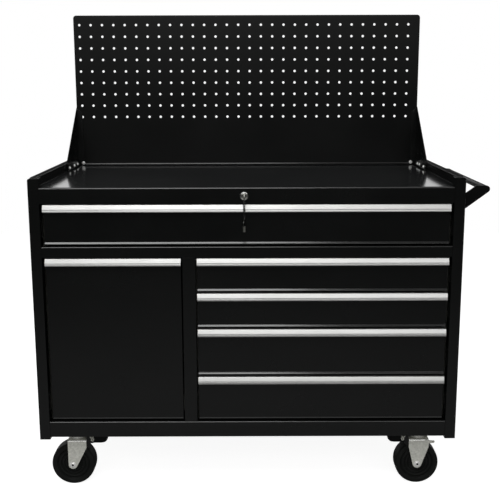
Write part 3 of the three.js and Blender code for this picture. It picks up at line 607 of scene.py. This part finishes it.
def makePegboard(size):
    # Flat lattice lines run through the cells round the holes. In each cell, sixteen faces join the
    # square round it to the hole's circle; all other lattice cells are plain faces. The edge turns
    # to the rear in a quarter circle and comes back inside it.
    inset = size["foldRadius"]
    half, low, high = size["halfWidth"] - inset, size["bottom"] + inset, size["top"] - inset
    holeX = size["shift"] + size["pitch"] * (np.arange(size["columns"]) - (size["columns"] - 1) / 2)
    holeZ = size["top"] - size["topDrop"] - size["pitch"] * np.arange(size["rows"])[::-1]
    cell = size["cellHalf"]
    offsets = cell * np.array([-1.0, -math.tan(math.pi / 8), 0.0, math.tan(math.pi / 8), 1.0])
    linesX = np.concatenate([[-half], (holeX[:, None] + offsets).ravel(), [half]])
    linesZ = np.concatenate([[low], (holeZ[:, None] + offsets).ravel(), [high]])
    nx, nz = len(linesX), len(linesZ)
    lattice = np.stack(np.meshgrid(linesX, linesZ), -1).reshape(-1, 2)
    i, k = np.meshgrid(np.arange(nx - 1), np.arange(nz - 1))
    lines = len(offsets)
    between = (i > 0) & (i < nx - 2) & (k > 0) & (k < nz - 2)
    inHole = ((i - 1) % lines < lines - 1) & ((k - 1) % lines < lines - 1) & between
    arcRadius = size["cornerRadius"] - inset
    arcX, arcZ = half - arcRadius, high - arcRadius
    atLeft = int(np.searchsorted(linesX, -arcX))
    inCorner = (k == nz - 2) & ((i < atLeft) | (i == nx - 2))
    keep = ~(inHole | inCorner)
    quads = gridQuads(nz, nx).reshape(nz - 1, nx - 1, 4)[keep].tolist()
    sides = size["holeFaces"]
    turn = 2 * np.pi * np.arange(sides) / sides
    square = cell * np.stack([np.cos(turn), np.sin(turn)], 1) / np.maximum(
        np.abs(np.cos(turn)), np.abs(np.sin(turn)))[:, None]
    circle = size["holeRadius"] * np.stack([np.cos(turn), np.sin(turn)], 1)
    centres = np.stack(np.meshgrid(holeX, holeZ), -1).reshape(-1, 1, 2)
    ringPair = np.concatenate([centres + square, centres + circle], 1)
    pairQuads = gridQuads(2, sides, wrapColumns=True)
    count = len(centres)
    pairQuads = (pairQuads[None] + 2 * sides * np.arange(count)[:, None, None]).reshape(-1, 4)
    lastZ = linesZ[-2]
    leftCorner = ([[x, lastZ] for x in linesX[:atLeft + 1]] + [[linesX[atLeft], high]]
                  + arcPoints(-arcX, arcZ, arcRadius, 90, 180))
    rightCorner = ([[linesX[-2], lastZ], [half, lastZ]] + arcPoints(arcX, arcZ, arcRadius, 0, 90)
                   + [[linesX[-2], high]])

    def at(points, y):
        points = np.asarray(points, float).reshape(-1, 2)
        return np.stack([points[:, 0], np.full(len(points), y), points[:, 1]], 1)

    parts = []
    for y in (size["front"], size["front"] + size["sheet"]):
        parts.append((at(lattice, y), quads))
        parts.append((at(ringPair, y), pairQuads))
        for corner in (leftCorner, rightCorner):
            parts.append((at(corner, y), [list(range(len(corner)))]))
    rims = np.concatenate([at(centres + circle, y).reshape(count, 1, sides, 3)
                           for y in (size["front"], size["front"] + size["sheet"])], 1)
    parts.append((rims.reshape(-1, 3), pairQuads))
    # the edge: outline points with their outward directions, carried through the fold's profile
    right = arcPoints(arcX, arcZ, arcRadius, 0, 90)
    left = arcPoints(-arcX, arcZ, arcRadius, 90, 180)
    topX = [x for x in linesX[::-1] if -arcX < x < arcX]
    loop = ([[x, low] for x in linesX] + [[half, z] for z in linesZ[1:-1]] + right
            + [[x, high] for x in topX] + left + [[-half, z] for z in linesZ[-2:0:-1]])
    turnsRight, turnsLeft = ([[math.cos(a), math.sin(a)] for a in
                              np.radians(np.linspace(start, start + 90, cornerSteps + 1))]
                             for start in (0, 90))
    outward = ([[-1, -1]] + [[0, -1]] * (nx - 2) + [[1, -1]] + [[1, 0]] * (nz - 2) + turnsRight
               + [[0, 1]] * len(topX) + turnsLeft + [[-1, 0]] * (nz - 2))
    loop, outward = np.array(loop, float), np.array(outward, float)
    quarter = np.radians(np.linspace(0, 90, size["foldSteps"] + 1))
    inner = inset - size["sheet"]
    profile = np.concatenate([
        np.stack([inset * np.sin(quarter), inset * (1 - np.cos(quarter))], 1),
        [[inset, size["fold"]], [inner, size["fold"]]],
        np.stack([inner * np.sin(quarter[::-1]), size["sheet"] + inner * (1 - np.cos(quarter[::-1]))], 1),
    ])
    flat = loop[None] + profile[:, 0][:, None, None] * outward[None]
    depth = np.broadcast_to((size["front"] + profile[:, 1])[:, None], flat.shape[:2])
    grid = np.stack([flat[..., 0], depth, flat[..., 1]], -1)
    parts.append((grid.reshape(-1, 3), gridQuads(len(profile), len(loop), wrapColumns=True)))
    return solidPiece("pegboard_sheet", parts, "root", "board", ("pegboard",), smoothAngle=40.0)


makePegboard(pegboard)
print("pegboard made")


# ---- domed bolts, gusset feet, and the bead and fillets at the tray ----

dome = {"sweep": 68, "points": 7, "narrowing": 0.97, "socketRim": 0.94, "socketWidth": 0.85,
        "socketWall": 0.35, "socketFloor": 0.3, "sides": 18}


def domedBolt(radius, height, socket):
    # half outline of a domed head with a socket, from its seat outwards: radius cos t, crown sin t
    turn = np.radians(np.linspace(0, dome["sweep"], dome["points"]))
    crown = height / math.sin(math.radians(dome["sweep"]))
    curve = np.stack([radius * np.cos(turn * dome["narrowing"]), crown * np.sin(turn)], 1)
    return [[0, 0], [radius, 0], *curve[1:].tolist(), [socket, height * dome["socketRim"]],
            [socket * dome["socketWidth"], height * dome["socketWall"]], [0, height * dome["socketFloor"]]]


def boltAt(place, axis, sign, outline):
    outline = [[r, sign * a] for r, a in outline]
    return turnedOutline(outline, place, axis, dome["sides"])


gussetFoot = {"front": 446.0, "rear": 638.5, "flange": 14.0, "sheet": 1.4, "rise": 17.0, "bottom": 731.4,
              "gap": 0.1, "edge": 0.5, "bend": 1.5}
gussetBolts = {"radius": 4.2, "washerHeight": 0.6, "height": 3.2, "socket": 1.6,
               "level": 739.6, "flangeLevel": 740.0,
               "left": (472.0, 549.0, 604.0), "right": (480.0, 549.0, 584.0), "flangeInset": 16.0,
               "washer": [[0, 0], [5.6, 0], [5.6, 0.6], [0, 0.6]]}
for side, word in ((-1, "left"), (1, "right")):
    low, high = frameBoxOf(word + "_gusset")
    wingInner = side * (abs(low[0] if side < 0 else high[0]) - pegboard["sheet"])
    flangeFace = high[1] - pegboard["sheet"]
    foot = gussetFoot
    inner = abs(wingInner) - foot["gap"]
    under, upper, tip = foot["bottom"], foot["bottom"] + foot["sheet"], inner - foot["flange"]
    section = [[inner, under], [tip + foot["edge"], under], [tip, under + foot["edge"]],
               [tip + foot["edge"], upper], [inner - foot["sheet"] - foot["bend"], upper],
               [inner - foot["sheet"], upper + foot["bend"]],
               [inner - foot["sheet"], under + foot["rise"]], [inner, under + foot["rise"]]]
    section = [[side * x, z] for x, z in section]
    solidPiece(word + "_gusset_foot", [extrudedOutline(section, foot["front"], foot["rear"], 1)], "root",
               "outer")
    head = domedBolt(gussetBolts["radius"], gussetBolts["height"], gussetBolts["socket"])
    washer, rise = gussetBolts["washer"], gussetBolts["washerHeight"]
    seat = wingInner - side * (foot["sheet"] + foot["gap"])
    parts = []
    for y in gussetBolts[word]:
        parts.append(boltAt((seat, y, gussetBolts["level"]), 0, -side, washer))
        parts.append(boltAt((seat - side * rise, y, gussetBolts["level"]), 0, -side, head))
    x = side * (abs(wingInner) - gussetBolts["flangeInset"])
    parts.append(boltAt((x, flangeFace, gussetBolts["flangeLevel"]), 1, -1, washer))
    parts.append(boltAt((x, flangeFace - rise, gussetBolts["flangeLevel"]), 1, -1, head))
    solidPiece(word + "_gusset_bolts", parts, "root", "bolt")

# a bead along the pegboard's foot in the lighter hem paint: a painted highlight line there
bead = {"half": 560.0, "bottom": 735.8, "height": 3.2, "proud": 3.2, "nose": 0.6, "lean": 0.2}
beadOutline = [[0.0, 0.0], [-bead["proud"], 0.0], [-bead["proud"] + bead["lean"], bead["nose"]],
               [-bead["nose"], bead["height"] - bead["lean"]], [0.0, bead["height"]]]
beadOutline = np.array(beadOutline) + [pegboard["front"], bead["bottom"]]
solidPiece("pegboard_foot_bead", [extrudedOutline(beadOutline, -bead["half"], bead["half"], 0)], "root",
           "lip")

fillet = {"radius": 3.0, "front": 15.0, "rear": 640.0, "floor": 731.0, "wall": 581.0}
for side, word in ((-1, "left"), (1, "right")):
    r = fillet["radius"]
    curve = arcPoints(fillet["wall"] - r, fillet["floor"] + r, r, 270, 360)
    section = [[side * x, z] for x, z in curve + [[fillet["wall"], fillet["floor"]]]]
    solidPiece(word + "_tray_fillet", [extrudedOutline(section, fillet["front"], fillet["rear"], 1)], "root",
               "outer", smoothAngle=50.0)
print("bolts and tray edges made")


# ---- push handle ----

handle = {"endRound": 2.0, "endPoints": 5, "segments": 48}
screw = {"radius": 4.4, "height": 2.8, "socket": 1.6, "footInset": 12.0, "rises": (10.0, 32.0), "seat": 3.0}
barLow, barHigh = frameBoxOf("handle_bar")
barMiddle = (barLow + barHigh) / 2
r, half = ((barHigh - barLow) / 2)[:2]
e = handle["endRound"]
barOutline = [[0, -half], *[[r - e + e * math.sin(a), -half + e - e * math.cos(a)]
                            for a in np.radians(np.linspace(0, 90, handle["endPoints"]))]]
barOutline += [[q[0], -q[1]] for q in barOutline[::-1]]
solidPiece("handle_bar_round", [turnedOutline(barOutline, barMiddle, 1, handle["segments"])], "root",
           "handle", ("handle_bar",))
parts = []
head = domedBolt(screw["radius"], screw["height"], screw["socket"])
for node in ("front_handle_arm", "rear_handle_arm"):
    low, high = frameBoxOf(node)
    inward = screw["footInset"]
    footY = high[1] - inward if node == "front_handle_arm" else low[1] + inward
    for rise in screw["rises"]:
        parts.append(boltAt((low[0] + screw["seat"], footY, low[2] + rise), 0, 1, head))
solidPiece("handle_screws", parts, "root", "handle")
print("handle made")


# ---- drawers ----

drawerNames = ("top_drawer", "deep_drawer", "side_drawer_1", "side_drawer_2", "side_drawer_3",
               "side_drawer_4")
pull = {
    "lap": 8.0,
    # outline in Y and Z from the face's front at the pull's top: lap, sloping band, groove,
    # lower band, inner walls
    "band": [[8.0, 0.0], [-8.8, 0.0], [-9.7, -0.2], [-10.3, -0.9], [-14.0, -11.8], [-14.1, -12.5],
             [-12.8, -12.9], [-12.8, -14.4], [-14.0, -14.7], [-14.3, -15.2], [-15.0, -18.9],
             [-14.8, -19.8], [-13.9, -20.4], [-13.0, -20.5], [-12.4, -19.9], [-12.0, -14.6],
             [-11.6, -11.2], [-9.4, -3.0], [-8.4, -2.1], [-1.8, -2.0], [-1.8, -14.0], [-0.3, -14.0],
             [-0.3, -2.0], [8.0, -2.0]],
}
lip = {"height": 6.6, "proud": 3.0, "nose": 1.5, "bottom": 0.2, "kneeOut": 0.45, "kneeUp": 0.62,
       "topOut": 0.35, "topDrop": 0.5, "endInset": 0.6}
lowLip = dict(lip, height=4.2, proud=1.6, nose=0.8)
boxEdge = 0.7


def lipOutline(size):
    # a rolled hem along the lower edge of a drawer's face, in Y and Z from that edge: round
    # underneath, with a sloping upper side
    h, p, r, low = size["height"], size["proud"], size["nose"], size["bottom"]
    return [[0.0, low], *arcPoints(-p + r, low + r, r, 270, 150),
            [-p * size["kneeOut"], h * size["kneeUp"]], [-size["topOut"], h - size["topDrop"]], [0.0, h]]


for name in drawerNames:
    low, high = frameBoxOf(name + "_pull")
    faceFront = high[1] - pull["lap"]
    outline = np.array(pull["band"]) + [faceFront, high[2]]
    solidPiece(name + "_pull_rail", [extrudedOutline(outline, low[0], high[0], 0)], name, "pull",
               (name + "_pull",), smoothAngle=28.0)
    boxLow = frameBoxOf(name + "_box")[0]
    softened(name + "_box", name + "_box_soft", boxEdge, "outer")
    # the taller hems take the lighter hem paint, a painted highlight; the low hems of the deep drawer and the
    # lowest side drawer stay plain black
    hem = lowLip if name in ("deep_drawer", "side_drawer_4") else lip
    edge = np.array(lipOutline(hem)) + [faceFront, boxLow[2]]
    hemPart = extrudedOutline(edge, low[0] + hem["endInset"], high[0] - hem["endInset"], 0)
    solidPiece(name + "_lip", [hemPart], name, "lip" if hem is lip else "outer")
print("drawers made")


# ---- lock, its key, the ring and the spare key ----

lock = {
    "bezel": [[6.3, 20.0], [6.3, -0.7], [6.9, -1.3], [7.5, -1.0], [8.1, -1.2], [8.9, -2.4], [9.7, -3.0],
              [10.6, -2.8], [11.3, -2.0], [11.7, -0.9], [11.6, -0.3], [9.5, -0.3], [9.5, 20.0], [6.3, 20.0]],
    "bezelSides": 48, "wire": 1.25, "wireSides": 10, "ringPoints": 48, "ringHeight": 69.0,
    "ringDepth": 19.0, "ringTop": 706.5, "ringMiddle": -17.0, "ringTurn": -9.0, "bowRadius": 10.5,
    "bowHole": 4.2, "bowMiddle": 634.5, "bowSides": 32, "holeRise": 4.6, "spareThick": 1.1,
    "spareTurn": -10.0, "barrelSides": 24,
    "barrel": [[2.6, 1.0], [2.6, -15.4], [3.5, -15.9], [4.2, -15.4], [4.3, -3.0], [3.9, 0.4], [2.6, 1.0]],
    "barrelTop": 626.8,
}
lockLow, lockHigh = frameBoxOf("lock_housing")
lockCentre = ((lockLow[0] + lockHigh[0]) / 2, 0.0, (lockLow[2] + lockHigh[2]) / 2)
solidPiece("lock_bezel", [turnedOutline(lock["bezel"], lockCentre, 1, lock["bezelSides"])], "root",
           "chrome", ("lock_housing",))


def turnedAbout(points, centreX, centreY, degrees):
    # points turned about an upright line
    points = np.asarray(points, float).copy()
    c, s = math.cos(math.radians(degrees)), math.sin(math.radians(degrees))
    x, y = points[:, 0] - centreX, points[:, 1] - centreY
    points[:, 0], points[:, 1] = centreX + c * x - s * y, centreY + s * x + c * y
    return points


# the ring: middle + half its depth cos t along Y, middle + half its height sin t along Z
turn = np.linspace(0, 2 * np.pi, lock["ringPoints"], endpoint=False)
ringPath = np.stack([np.full(len(turn), lockCentre[0]),
                     lock["ringMiddle"] + lock["ringDepth"] / 2 * np.cos(turn),
                     lock["ringTop"] - lock["ringHeight"] / 2 + lock["ringHeight"] / 2 * np.sin(turn)], 1)
ringPoints, ringFaces = wireAlong(ringPath, lock["wire"], lock["wireSides"], True, (1, 0, 0))
ringPoints = turnedAbout(ringPoints, lockCentre[0], lock["ringMiddle"], lock["ringTurn"])
solidPiece("key_ring", [(ringPoints, ringFaces)], "lock_core", "wire")


def keyBow(size, count):
    # a flat disc in Y and Z with a hole above its middle: both outlines on both sides
    circle = np.linspace(0, 2 * np.pi, count, endpoint=False)
    rings = []
    outer, hole = (size["bowRadius"], 0.0), (size["bowHole"], size["holeRise"])
    for (radius, rise), side in ((outer, -1), (outer, 1), (hole, 1), (hole, -1)):
        rings.append(np.stack([np.full(count, lockCentre[0] + side * size["spareThick"]),
                               size["ringMiddle"] + radius * np.cos(circle),
                               size["bowMiddle"] + rise + radius * np.sin(circle)], 1))
    return np.concatenate(rings), gridQuads(4, count, wrapRows=True, wrapColumns=True)


barrelCentre = (lockCentre[0], lock["ringMiddle"], lock["barrelTop"])
for name, (points, faces), finish in (
        ("spare_key_bow", keyBow(lock, lock["bowSides"]), "wire"),
        ("spare_key_barrel", turnedOutline(lock["barrel"], barrelCentre, 2, lock["barrelSides"]), "key")):
    points = turnedAbout(points, lockCentre[0], lock["ringMiddle"], lock["spareTurn"])
    solidPiece(name, [(points, faces)], "lock_core", finish)
print("lock made")


# ---- casters ----

caster = {
    "wheel": [[6.4, 28.0], [13.6, 28.0], [15.0, 27.2], [15.6, 25.4], [16.0, 20.6], [17.4, 19.0],
              [23.6, 18.6], [24.6, 15.4], [26.8, 15.4], [28.0, 18.8], [30.6, 19.2], [32.6, 18.6],
              [33.6, 16.8], [35.4, 16.8], [36.8, 20.6], [38.4, 21.6], [40.0, 21.9], [42.4, 21.2],
              [44.0, 19.4], [45.6, 18.8], [47.0, 19.8], [48.4, 23.0], [50.2, 24.6], [53.0, 25.0],
              [58.0, 24.9], [61.0, 23.9], [62.7, 21.6], [63.3, 18.0], [63.5, 12.0], [63.5, 4.0]],
    "boltHead": [[0.0, 1.6], [3.3, 1.6], [3.5, 4.3], [4.2, 4.6], [5.8, 4.3], [7.4, 3.0], [8.1, 1.3],
                 [8.1, 0.9], [9.5, 0.8], [9.5, 0.0], [0.0, 0.0]],
    "socket": [[0.0, 2.4], [3.1, 2.4], [3.1, 1.7], [0.0, 1.7]],
    "rod": 5.9, "rodOut": 0.5, "legOuter": 31.8, "gap": 0.1,
    "nut": [[0, 0.0], [9.0, 0.0], [9.0, 3.4], [8.0, 4.3], [0, 4.3]],
    "plate": 4.0, "plateEdge": 0.8, "forkEdge": 0.9, "pedalEdge": 1.6, "plateBolt": (40.0, 32.0),
    "hex": [[0, 0], [6.2, 0], [6.2, -3.8], [5.2, -4.6], [0, -4.6]],
    "rivet": [[0.0, 1.0], [2.6, 0.9], [4.0, 0.45], [4.4, 0.0], [4.4, -0.6], [0.0, -0.6]],
    "pinOut": 22.0, "pinIn": 0.2, "pinLevel": -26.0,
    "ball": 2.1, "ballCircle": 28.4, "ballCount": 30, "ballLevel": -6.5, "ballPoints": 7, "ballSides": 8,
    "wheelSides": 96, "rodSides": 32, "headSides": 40, "socketSides": 24,
}
brake = {
    "bracket": [[29.5, -8.0], [41.5, -10.0], [43.5, -24.0], [38.5, -35.0], [29.5, -40.0]],
    "bracketSpan": (-27.0, -24.0), "coilSteps": 14, "coilSides": 8,
    # place out, place along Y, level, radius, wire, length and turns of each spring
    "springs": [(45.5, -26.0, -6.5, 4.6, 1.1, 12.0, 5), (47.5, -27.0, -16.5, 3.6, 1.0, 9.0, 4)],
    "tab": [[18.0, -19.0], [27.0, -19.0], [44.5, -20.5], [46.5, -24.0], [43.5, -27.0], [24.0, -29.0]],
    "tabSpan": (-34.2, -31.8), "tabBolt": (41.5, -34.2, -23.6), "tabHead": (3.6, 2.6, 1.2),
}


def wheelOutline(side):
    # one side's profile, its mirror image and the step back to the start
    side = np.array(side, float)
    other = side[::-1] * [1.0, -1.0]
    return np.concatenate([side, other, side[:1]])


def ballRow(centre, circle, radius, count):
    # one row of balls round an upright axis: each a turned half circle, set out by its angle
    half = [[radius * math.sin(a), radius * math.cos(a)]
            for a in np.radians(np.linspace(0, 180, caster["ballPoints"]))]
    half[0][0] = half[-1][0] = 0.0
    parts = []
    for angle in 2 * np.pi * np.arange(count) / count:
        place = (centre[0] + circle * math.cos(angle), centre[1] + circle * math.sin(angle), centre[2])
        parts.append(turnedOutline(half, place, 2, caster["ballSides"]))
    return parts


def coil(centre, radius, wire, length, turns, axis):
    # a wire wound about an axis: angle grows evenly with the place along it
    t = np.linspace(0, 1, int(turns * brake["coilSteps"]))
    others = [i for i in range(3) if i != axis]
    path = np.empty((len(t), 3))
    path[:, axis] = centre[axis] + length * (t - 0.5)
    path[:, others[0]] = centre[others[0]] + radius * np.cos(2 * np.pi * turns * t)
    path[:, others[1]] = centre[others[1]] + radius * np.sin(2 * np.pi * turns * t)
    reference = [0.0, 0.0, 0.0]
    reference[axis] = 1.0
    return wireAlong(path, wire, brake["coilSides"], False, reference)


for name in casterNames:
    low, high = frameBoxOf(name + "_caster_plate")
    middle = (low + high) / 2
    x, y = middle[0], middle[1]
    plateUnder = high[2] - caster["plate"]
    softened(name + "_caster_plate", name + "_plate_soft", caster["plateEdge"], "race")
    softened(name + "_fork", name + "_fork_soft", caster["forkEdge"], "zinc")
    boltX, boltY = caster["plateBolt"]
    hexBolts = [turnedOutline(caster["hex"], (x + dx, y + dy, plateUnder), 2, 6)
                for dx in (-boltX, boltX) for dy in (-boltY, boltY)]
    solidPiece(name + "_plate_bolts", hexBolts, "root", "zinc", smoothAngle=25.0)
    balls = ballRow((x, y, caster["ballLevel"]), caster["ballCircle"], caster["ball"], caster["ballCount"])
    solidPiece(name + "_race_balls", balls, "root", "zinc", smoothAngle=70.0)

    wheelLow, wheelHigh = frameBoxOf(name + "_wheel")
    hub = (wheelLow + wheelHigh) / 2
    tyre = turnedOutline(wheelOutline(caster["wheel"]), hub, 1, caster["wheelSides"])
    solidPiece(name + "_wheel_turned", [tyre], name + "_roller", "rubber", (name + "_wheel",),
               smoothAngle=50.0)
    leg = caster["legOuter"]
    rodEnd = leg + caster["rodOut"]
    rod = [[0, -rodEnd], [caster["rod"], -rodEnd], [caster["rod"], rodEnd], [0, rodEnd]]
    headPlace = (hub[0], hub[1] - leg - caster["gap"], hub[2])
    nutPlace = (hub[0], hub[1] + leg + caster["gap"], hub[2])
    head, socket = ([[q, -a] for q, a in caster[part]] for part in ("boltHead", "socket"))
    solidPiece(name + "_axle_bolt", [
        turnedOutline(rod, hub, 1, caster["rodSides"]),
        turnedOutline(head, headPlace, 1, caster["headSides"]),
        turnedOutline(caster["nut"], nutPlace, 1, 6),
    ], name + "_swivel", "bolt", (name + "_axle",))
    # a black disc on the socket's floor: painted shade in the socket
    solidPiece(name + "_axle_socket_painted_shade", [turnedOutline(socket, headPlace, 1, caster["socketSides"])],
               name + "_swivel", "outer")

    if name.startswith("front"):
        reach = 1 if name == "front_left" else -1
        softened(name + "_brake_pedal", name + "_pedal_soft", caster["pedalEdge"], "moulded", segments=3)
        rivetPlace = (x + reach * caster["pinOut"], y - leg + caster["pinIn"], caster["pinLevel"])
        solidPiece(name + "_pivot_rivet", [boltAt(rivetPlace, 1, -1, caster["rivet"])], name + "_swivel",
                   "zinc", smoothAngle=60.0)
        bracket = [[x + reach * out, level] for out, level in brake["bracket"]]
        near, far = brake["bracketSpan"]
        solidPiece(name + "_brake_bracket", [extrudedOutline(bracket, y + near, y + far, 1)],
                   name + "_swivel", "outer")
        springs = [coil((x + reach * out, y + along, level), radius, wire, length, turns, 1)
                   for out, along, level, radius, wire, length, turns in brake["springs"]]
        solidPiece(name + "_brake_spring", springs, name + "_pedal", "zinc", smoothAngle=60.0)
    if name == "front_right":
        near, far = brake["tabSpan"]
        tab = extrudedOutline([[x + out, level] for out, level in brake["tab"]], y + near, y + far, 1)
        out, along, level = brake["tabBolt"]
        tabBolt = boltAt((x + out, y + along, level), 1, -1, domedBolt(*brake["tabHead"]))
        solidPiece(name + "_fork_tab", [tab, tabBolt], name + "_swivel", "zinc")
print("casters made")


# ---- lamps, world and floor ----

lamps = {
    "keyLamp": {"place": (-0.62, -1.6, 2.4), "aim": (-0.2, -0.3, 0.8), "size": (1.8, 0.95), "watts": 22.0},
    "frontLamp": {"place": (0.2, -4.3, 2.3), "aim": (0.0, 0.0, 0.6), "size": (5.2, 1.7), "watts": 46.0},
    "topLamp": {"place": (-0.3, 0.2, 3.4), "aim": (-0.05, 0.1, 0.8), "size": (2.0, 1.2), "watts": 10.0},
}
for name, look in lamps.items():
    data = bpy.data.lights.new(name, "AREA")
    data.shape = "RECTANGLE"
    data.size, data.size_y = look["size"]
    data.energy = look["watts"]
    lamp = bpy.data.objects.new(name, data)
    lamp.location = look["place"]
    lamp.rotation_euler = (Vector(look["aim"]) - Vector(look["place"])).to_track_quat("-Z", "Y").to_euler()
    scene.collection.objects.link(lamp)


def makeWorld(look):
    # white behind everything; metal and gloss see the same white behind the trolley and above it,
    # and a dim room in front of it; the soft light itself is a plain grey
    world = bpy.data.worlds.new("studioWorld")
    scene.world = world
    world.use_nodes = True
    tree = world.node_tree
    background = tree.nodes["Background"]
    rays = tree.nodes.new("ShaderNodeLightPath")
    direction = tree.nodes.new("ShaderNodeSeparateXYZ")
    tree.links.new(tree.nodes.new("ShaderNodeTexCoord").outputs["Generated"], direction.inputs[0])
    seen = rangeNode(tree, direction.outputs["Y"], look["dimFrom"], look["whiteFrom"],
                     look["frontGloss"], 1.0)
    gloss = mathNode(tree, "MAXIMUM", rays.outputs["Is Glossy Ray"], rays.outputs["Is Transmission Ray"])
    level = mixNode(tree, "FLOAT", gloss, look["softLight"], seen)
    strength = mixNode(tree, "FLOAT", rays.outputs["Is Camera Ray"], level, 1.0)
    background.inputs["Color"].default_value = (1, 1, 1, 1)
    tree.links.new(strength, background.inputs["Strength"])


makeWorld({"dimFrom": -0.15, "whiteFrom": 0.3, "frontGloss": 0.05, "softLight": 0.3})

floorLook = {"half": 4.0, "nearGlow": 0.9, "farGlow": 1.0, "nearEdge": 0.75, "farEdge": 1.5,
             "nearTone": 0.55, "farTone": 0.16, "toneStart": 1.0, "toneEnd": 3.6}


def makeFloor(look):
    half = look["half"]
    mesh = bpy.data.meshes.new("studioFloor")
    corners = [(-half, -half, 0.0), (half, -half, 0.0), (half, half, 0.0), (-half, half, 0.0)]
    mesh.from_pydata(corners, [], [[0, 1, 2, 3]])
    material = bpy.data.materials.new("paleFloor")
    material.use_nodes = True
    tree = material.node_tree
    tree.nodes.clear()
    matte = tree.nodes.new("ShaderNodeBsdfDiffuse")
    glow = tree.nodes.new("ShaderNodeEmission")
    both = tree.nodes.new("ShaderNodeAddShader")
    out = tree.nodes.new("ShaderNodeOutputMaterial")
    rays = tree.nodes.new("ShaderNodeLightPath")
    length = tree.nodes.new("ShaderNodeVectorMath")
    length.operation = "LENGTH"
    tree.links.new(tree.nodes.new("ShaderNodeTexCoord").outputs["Object"], length.inputs[0])
    away = rangeNode(tree, length.outputs["Value"], look["nearEdge"], look["farEdge"], look["nearGlow"],
                     look["farGlow"])
    tree.links.new(mathNode(tree, "MULTIPLY", away, rays.outputs["Is Camera Ray"]), glow.inputs["Strength"])
    tone = rangeNode(tree, length.outputs["Value"], look["toneStart"], look["toneEnd"], look["nearTone"],
                     look["farTone"])
    tree.links.new(tone, matte.inputs["Color"])
    tree.links.new(matte.outputs[0], both.inputs[0])
    tree.links.new(glow.outputs[0], both.inputs[1])
    tree.links.new(both.outputs[0], out.inputs["Surface"])
    mesh.materials.append(material)
    floor = bpy.data.objects.new("studioFloor", mesh)
    scene.collection.objects.link(floor)


makeFloor(floorLook)
scene.view_settings.view_transform = "Standard"
print("lights and floor made")
